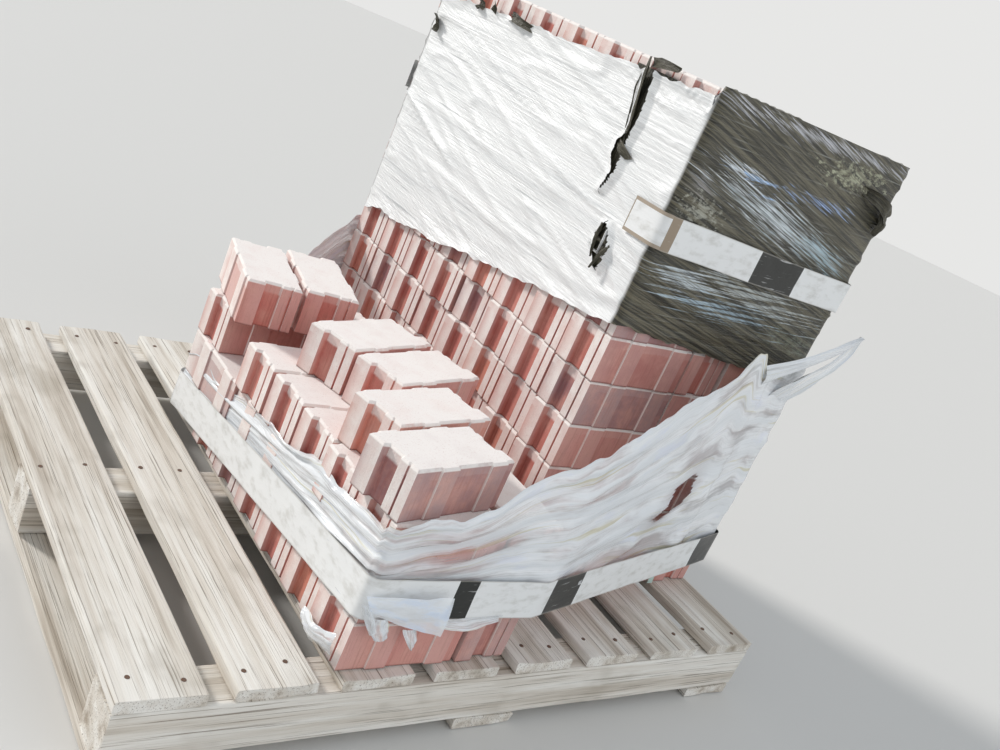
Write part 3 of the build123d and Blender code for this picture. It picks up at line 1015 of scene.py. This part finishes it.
# What shows through the tears: a dark layer of film, which also stands in for the shade inside them
BLACK_UNDER = [
    ([(86.4, -115, 985), (86.4, -125, 900), (86.4, -120, 770)],
     [(86.4, -212, 985), (86.4, -205, 900), (86.4, -200, 770)], 0, 0),
    ([(86.4, -150, 750), (86.4, -155, 710), (86.4, -160, 668)],
     [(86.4, -270, 750), (86.4, -275, 710), (86.4, -270, 668)], 0, 0),
]
BLACK_SHREDS = [
    # lips folded back along the long tear
    ([(84, -142, 1001), (79, -152, 962), (81, -162, 905), (82, -160, 882)],
     [(76, -150, 1000), (72, -158, 960), (77, -166, 905), (80, -164, 882)], 3, 3),
    ([(83, -146, 1001), (77, -176, 1005), (80, -216, 1003)],
     [(82, -150, 986), (74, -180, 990), (79, -212, 994)], 3, 4),
    ([(82, -150, 874), (76, -168, 868), (80, -200, 852)],
     [(81, -152, 862), (74, -170, 852), (79, -186, 846)], 3, 3),
    # narrow fold beside the long tear
    ([(84, -136, 975), (82, -135, 951), (84, -143, 927), (82, -151, 896), (84, -159, 869),
      (82, -171, 839)],
     [(83, -137, 975), (83, -138, 951), (83, -145, 927), (83, -154, 896), (83, -164, 869),
      (83, -173, 839)], 1, 2),
    # strands across the lower tear
    ([(82, -186, 728), (78, -206, 722), (82, -228, 716)],
     [(82, -188, 723), (79, -206, 717), (82, -228, 713)], 2, 2),
    ([(82, -194, 744), (72, -202, 718), (76, -206, 690)],
     [(82, -200, 744), (74, -208, 718), (77, -209, 690)], 3, 3),
    ([(82, -230, 722), (72, -226, 702), (70, -220, 676)],
     [(82, -236, 716), (74, -232, 700), (71, -223, 675)], 3, 3),
    # rolled scraps along the top edge
    ([(83, 352, 962), (74, 344, 972), (78, 330, 968)],
     [(83, 356, 950), (70, 342, 956), (77, 326, 953)], 5, 4),
    ([(83, 304, 974), (74, 296, 978), (80, 288, 966)],
     [(83, 306, 962), (72, 296, 962), (80, 286, 956)], 4, 3),
    ([(83, 246, 968), (72, 222, 975), (74, 196, 970), (82, 168, 966)],
     [(83, 244, 956), (70, 220, 958), (72, 198, 956), (82, 166, 954)], 5, 5),
    ([(83, 474, 906), (66, 462, 910), (72, 446, 896)],
     [(83, 470, 884), (68, 458, 880), (73, 444, 878)], 6, 5),
]
# Strands across the lower tear, with the painted silver sheen
BLACK_STRANDS = [
    ([(81, -184, 708), (77, -206, 704), (81, -236, 700)],
     [(81, -185, 701), (78, -207, 699), (81, -236, 696)], 2, 3),
    ([(81, -212, 740), (76, -216, 722), (78, -214, 700)],
     [(81, -217, 738), (77, -221, 722), (79, -217, 700)], 2, 2),
]
# Loose rolled end at the top right of the front
BLACK_SCRAPS = [
    ([(486, -316, 950), (520, -330, 948), (556, -336, 936), (585, -322, 916)],
     [(490, -316, 936), (524, -334, 924), (558, -338, 906), (580, -322, 886)], 8, 8),
    ([(545, -316, 930), (556, -328, 905), (560, -322, 880)],
     [(570, -316, 928), (576, -330, 902), (570, -322, 878)], 6, 5),
]


def black_shape(run, z, share, side):
    """Wrinkles of the black film: drawn folds along it and ragged, rolled edges."""
    drawn = wave(run * 3.0, z * 40.0, 1.7)
    sloped = wave(run * 5.0 + z * 5.0, z * 26.0 + run * 5.0, 5.2)
    fold = max(0.0, 1.0 - abs(sloped) * 8.0)
    push = 0.0010 + 0.0020 * abs(drawn) + 0.0030 * fold
    if side < 1 and run < PLEAT_END:
        pleat = math.exp(-((z - 0.672 + (run - 0.24) * 0.31) / 0.004) ** 2)
        push += 0.007 * pleat * min(1.0, (PLEAT_END - run) / 0.05)
    edge = min(share, 1 - share)
    if edge < ROLLED_BAND:
        push += 0.004 * (1 - edge / ROLLED_BAND) * (0.6 + wave(run * 12, 3.0, 0))
    if side > HELD_FROM and z < HELD_UNDER:
        push = 0.0004 + 0.15 * push
    lift = 0.0
    if 1.0 <= side <= 2.0:               # the front folds over the top of the stack
        over = (share - FOLD_START) / (1 - FOLD_START)
        to_top = STACK_TOP + OVER_TOP - z
        if over >= 0:
            lift = to_top + 0.002 * fold
        elif share > CLIMB_START:
            lift = to_top * min(1.0, (share - CLIMB_START) / CLIMB)
        if over > 0:
            push -= over * (0.030 + 0.016 * wave(run * 13.0, 5.0, 1.0))
    elif share > 1 - TORN_BAND:
        ragged = wave(run * 11.0, 9.0, 2.0) * 0.012 + wave(run * 46.0, 4.0, 2.0) * 0.005
        lift = (share - (1 - TORN_BAND)) / TORN_BAND * ragged
    if share < TORN_BAND:
        ragged = wave(run * 9.0, 4.0, 8.0) * 0.013 + wave(run * 40.0, 1.0, 8.0) * 0.005
        lift = (TORN_BAND - share) / TORN_BAND * ragged
    return push, lift


def black_glare(side, z):
    """The left side, which faces the key light, gets the painted silver sheen, the back a little of
    it, and the rest is dark.
    """
    if side < 1.0:
        return 1.0
    return 0.35 if side >= 3.0 else 0.0


def build_black_film():
    path = round_path(STACK_CORNERS, offset=0.0016, radius=0.014, step=FILM_STEP)
    path = refined(path, *TEAR_RUNS, times=TEAR_TIMES)
    shreds = [
        ("black_under", BLACK_UNDER, BLACK_FILM, 0.0),
        ("black_shreds", BLACK_SHREDS, BLACK_FILM, 0.0),
        ("black_strands", BLACK_STRANDS, BLACK_FILM, 1.0),
        ("black_scraps", BLACK_SCRAPS, BLACK_FILM, 0.0),
    ]
    wrapped_sheet("black_wrap", "black_film", path, (372, 502, 455, 400), (832, 868, 876, 860), 80,
                  black_shape, BLACK_FILM, "black_film", shreds, black_glare,
                  BLACK_SLITS)


# Clear film

# How far the top edge stands above the straight line: side and millimetres
CLEAR_RISE = [(1.0, 8), (1.16, 6), (1.34, -8), (1.48, 2), (1.60, 21), (1.69, 34), (2.0, 42),
              (2.27, 52), (2.45, 68), (2.58, 90), (2.64, 80), (2.70, 30), (2.85, -8), (3.0, -30),
              (3.3, 0)]
TORN_TOP = 0.82                  # share of its height from which the top edge is ragged
TIGHT_FROM, OFF_FROM = 2.75, 2.9         # sides where it gets tighter, and stands further off
# Where it is stretched thin: side, height, half sizes, slope and how thin
THIN_SPOTS = [(2.52, 0.350, 0.16, 0.050, 0.35, 1.0), (1.40, 0.325, 0.42, 0.050, 0.0, 0.50)]
# The peak at the front right corner
CLEAR_FLAP = [
    ([(420, -368, 585), (520, -367, 630), (600, -364, 668), (641, -362, 704)],
     [(405, -370, 622), (505, -368, 650), (578, -364, 680), (637, -362, 706)], 6, 4),
    ([(560, -334, 545), (580, -350, 585), (602, -360, 620), (637, -362, 664), (643, -362, 702)],
     [(480, -352, 560), (515, -358, 596), (576, -362, 640), (619, -362, 684), (637, -362, 706)],
     -6, 5),
]
# A strip that hangs at the front left corner, and patches and a tip below the tape
CLEAR_SHREDS = [
    ([(-316, -495, 248), (-302, -499, 222), (-284, -498, 197)],
     [(-304, -498, 247), (-288, -502, 224), (-276, -500, 200)], 3, 5),
    ([(-287, -495, 222), (-284, -498, 202), (-270, -496, 184)],
     [(-262, -495, 221), (-257, -499, 205), (-250, -496, 188)], 4, 5),
    ([(-230, -495, 200), (-221, -500, 184), (-205, -498, 166)],
     [(-207, -495, 199), (-203, -501, 184), (-203, -498, 166)], 3, 4),
    ([(-172, -494, 214), (-120, -496, 214), (-58, -494, 214)],
     [(-166, -496, 198), (-118, -499, 194), (-64, -496, 205)], 3, 4),
    ([(-312, -470, 176), (-318, -430, 160), (-312, -380, 152)],
     [(-308, -470, 140), (-316, -430, 132), (-312, -390, 130)], 5, 6),
]


def rise(side):
    for (start, low), (end, high) in zip(CLEAR_RISE, CLEAR_RISE[1:]):
        if start <= side < end:
            return mix(low, high, (side - start) / (end - start)) / 1000
    return 0.0


def clear_shape(run, z, share, side):
    """Folds of the clear film that fan out between its two edges, and small crumples."""
    fan = wave(run * 3.5, share * 11.0, 2.2)
    ridge = max(0.0, 1.0 - abs(wave(run * 2.5, share * 7.0, 6.4)) * 6.0)
    small = wave(run * 16.0, share * 30.0, 7.1)
    push = 0.0014 + 0.0060 * abs(fan) + 0.0060 * ridge + 0.0012 * abs(small)
    if side > TIGHT_FROM:
        push *= 0.55
    if side > OFF_FROM:
        push += 0.0026 * min(1.0, (side - OFF_FROM) / 0.1)
    lift = share ** 2 * rise(side)
    if share > TORN_TOP:
        ragged = wave(run * 9.0, 1.0, 4.0) * 0.020 + wave(run * 37.0, 8.0, 4.0) * 0.007
        lift += (share - TORN_TOP) / (1 - TORN_TOP) * ragged
    if share < TORN_BAND:
        lift += (TORN_BAND - share) / TORN_BAND * 0.014 * wave(run * 13.0, 6.0, 4.0)
    return push, lift


def clear_thin(side, z):
    """Where the clear film is stretched so thin that the bricks show through."""
    thin = 0.0
    for middle, height, half_width, half_height, slope, strength in THIN_SPOTS:
        off = side - middle
        far = math.hypot(off / half_width, (z - height - off * slope) / half_height)
        thin = max(thin, strength * (1.0 - far))
    return thin


def build_clear_film():
    path = round_path(LOAD_CORNERS, offset=0.0012, radius=0.012, step=FILM_STEP)
    shreds = [("clear_flap", CLEAR_FLAP, CLEAR_FILM, 0.0),
              ("clear_shreds", CLEAR_SHREDS, CLEAR_FILM, 0.0)]
    wrapped_sheet("clear_wrap", "clear_film", path, (20, 100, 90, 60, 60, 60),
                  (110, 232, 322, 525, 480, 350), 44, clear_shape, CLEAR_FILM, "clear_film",
                  shreds, clear_thin)


# Tapes and spacer

TORN_FROM = 0.905                # where the upper tape starts on the left side
LOOSE_END = [
    ([(-297, -498, 232), (-236, -505, 212), (-171, -508, 194)],
     [(-312, -495, 260), (-246, -507, 262), (-177, -508, 261)], 3, 5),
]
SPACER_CORNERS = ((462, 0), (475, 0), (475, 1.6), (462, 1.6))    # x and depth, in millimetres


def tape_shape(run, z, share, side):
    wrinkle = wave(run * 10.0, z * 12.0, 8.8)
    return 0.0008 + 0.0022 * abs(wrinkle), 0.0020 * wave(run * 5.0, 2.0, 2.0)


def build_tapes():
    path = round_path(STACK_CORNERS, offset=0.0080, radius=0.016, step=TAPE_STEP)
    path = [point for point in path if point[3] > TORN_FROM]
    wrapped_sheet("upper_band", "upper_tape", path, (634, 634, 606, 606), (690, 690, 662, 662), 6,
                  tape_shape, UPPER_TAPE, "printed_tape", closed=False)
    path = round_path(LOAD_CORNERS, offset=0.0100, radius=0.014, step=TAPE_STEP)
    wrapped_sheet("lower_band", "lower_tape", path, (4, 99, 86, 59, 44, 34),
                  (70, 165, 152, 125, 110, 100), 7, tape_shape, LOWER_TAPE, "printed_tape",
                  [("loose_tape_end", LOOSE_END, LOOSE_TAPE, 0.0)])


def build_spacer():
    """A thin plastic strip that stands between two bricks at the foot of the front."""
    lines = [smooth_line([(x, -316 - depth, 190 - 0.02 * x), (x + 3, -319 - depth, 155),
                          (x + 8, -318 - depth, 122)]) for x, depth in SPACER_CORNERS]
    made = bmesh.new()
    skin(made, [[made.verts.new(place) for place in ring] for ring in zip(*lines)])
    piece_from("spacer_strip", mesh_from("spacer_strip", made), SPACER)


# Camera, light and floor

CAMERA_PLACE = Vector((-1.06814, -1.38913, 1.00370))
CAMERA_TURNS = ((-42.227, "Z"), (90 - 18.701, "X"), (24.003, "Z"))    # azimuth, elevation, roll
CAMERA_LENS = 37.743
# Name, strength, angle across, colour and direction of each lamp
LAMPS = [
    ("key_light", 2.5, 9.0, (1.0, 0.97, 0.93), (-0.466, 0.746, 0.470)),
    ("fill_light", 0.65, 70.0, (0.95, 0.98, 1.0), (0.30, -0.86, 0.42)),
]
SKY_COLOUR, SKY_STRENGTH = (0.90, 0.95, 1.0), 0.56
BACKGROUND = (0.80, 0.80, 0.79)
FLOOR_COLOUR, FLOOR_RADIUS = (0.70, 0.69, 0.67), 14.0


def build_camera():
    """The photograph's viewing angle: the camera leans over by its roll."""
    data = bpy.data.cameras.new("photo_camera")
    data.sensor_width = 36.0
    data.lens = CAMERA_LENS
    data.clip_end = 100.0
    camera = added("photo_camera", data)
    place = Matrix.Translation(CAMERA_PLACE)
    for degrees, axis in CAMERA_TURNS:
        place @= Matrix.Rotation(math.radians(degrees), 4, axis)
    camera.matrix_world = place
    bpy.context.scene.camera = camera


def build_light():
    """Two lamps and a soft sky, which the camera and shiny faces see as a plain background."""
    for name, energy, angle, colour, towards in LAMPS:
        sun = bpy.data.lights.new(name, "SUN")
        sun.energy = energy
        sun.angle = math.radians(angle)
        sun.color = colour
        lamp = added(name, sun)
        lamp.rotation_mode = "QUATERNION"
        lamp.rotation_quaternion = Vector(towards).to_track_quat("Z", "Y")
    world = bpy.data.worlds.new("soft_sky")
    bpy.context.scene.world = world
    world.use_nodes = True
    world.node_tree.nodes.clear()
    make = Nodes(world.node_tree)
    rays = make.new("ShaderNodeLightPath").outputs
    shown = make.maths("MAXIMUM", rays["Is Camera Ray"], make.maths(
        "MAXIMUM", rays["Is Glossy Ray"], rays["Is Transmission Ray"]))
    light = make.new("ShaderNodeBackground", {0: SKY_COLOUR, 1: SKY_STRENGTH})
    seen = make.new("ShaderNodeBackground", {0: BACKGROUND, 1: 1.0})
    make.new("ShaderNodeOutputWorld", {0: make.new("ShaderNodeMixShader",
                                                   {0: shown, 1: light, 2: seen})})


def build_floor():
    made = bmesh.new()
    bmesh.ops.create_circle(made, cap_ends=True, segments=64, radius=FLOOR_RADIUS)
    bmesh.ops.translate(made, verts=made.verts, vec=(0, 0, -0.001))
    mesh = mesh_from("studio_floor", made)
    mesh.materials.append(Finish("pale_floor").done(FLOOR_COLOUR, 0.9))
    added("studio_floor", mesh)


def main():
    bpy.context.scene.view_settings.view_transform = "Standard"
    build_camera()
    build_light()
    build_floor()
    build_bricks()
    build_pallet()
    build_black_film()
    build_clear_film()
    build_tapes()
    build_spacer()


main()
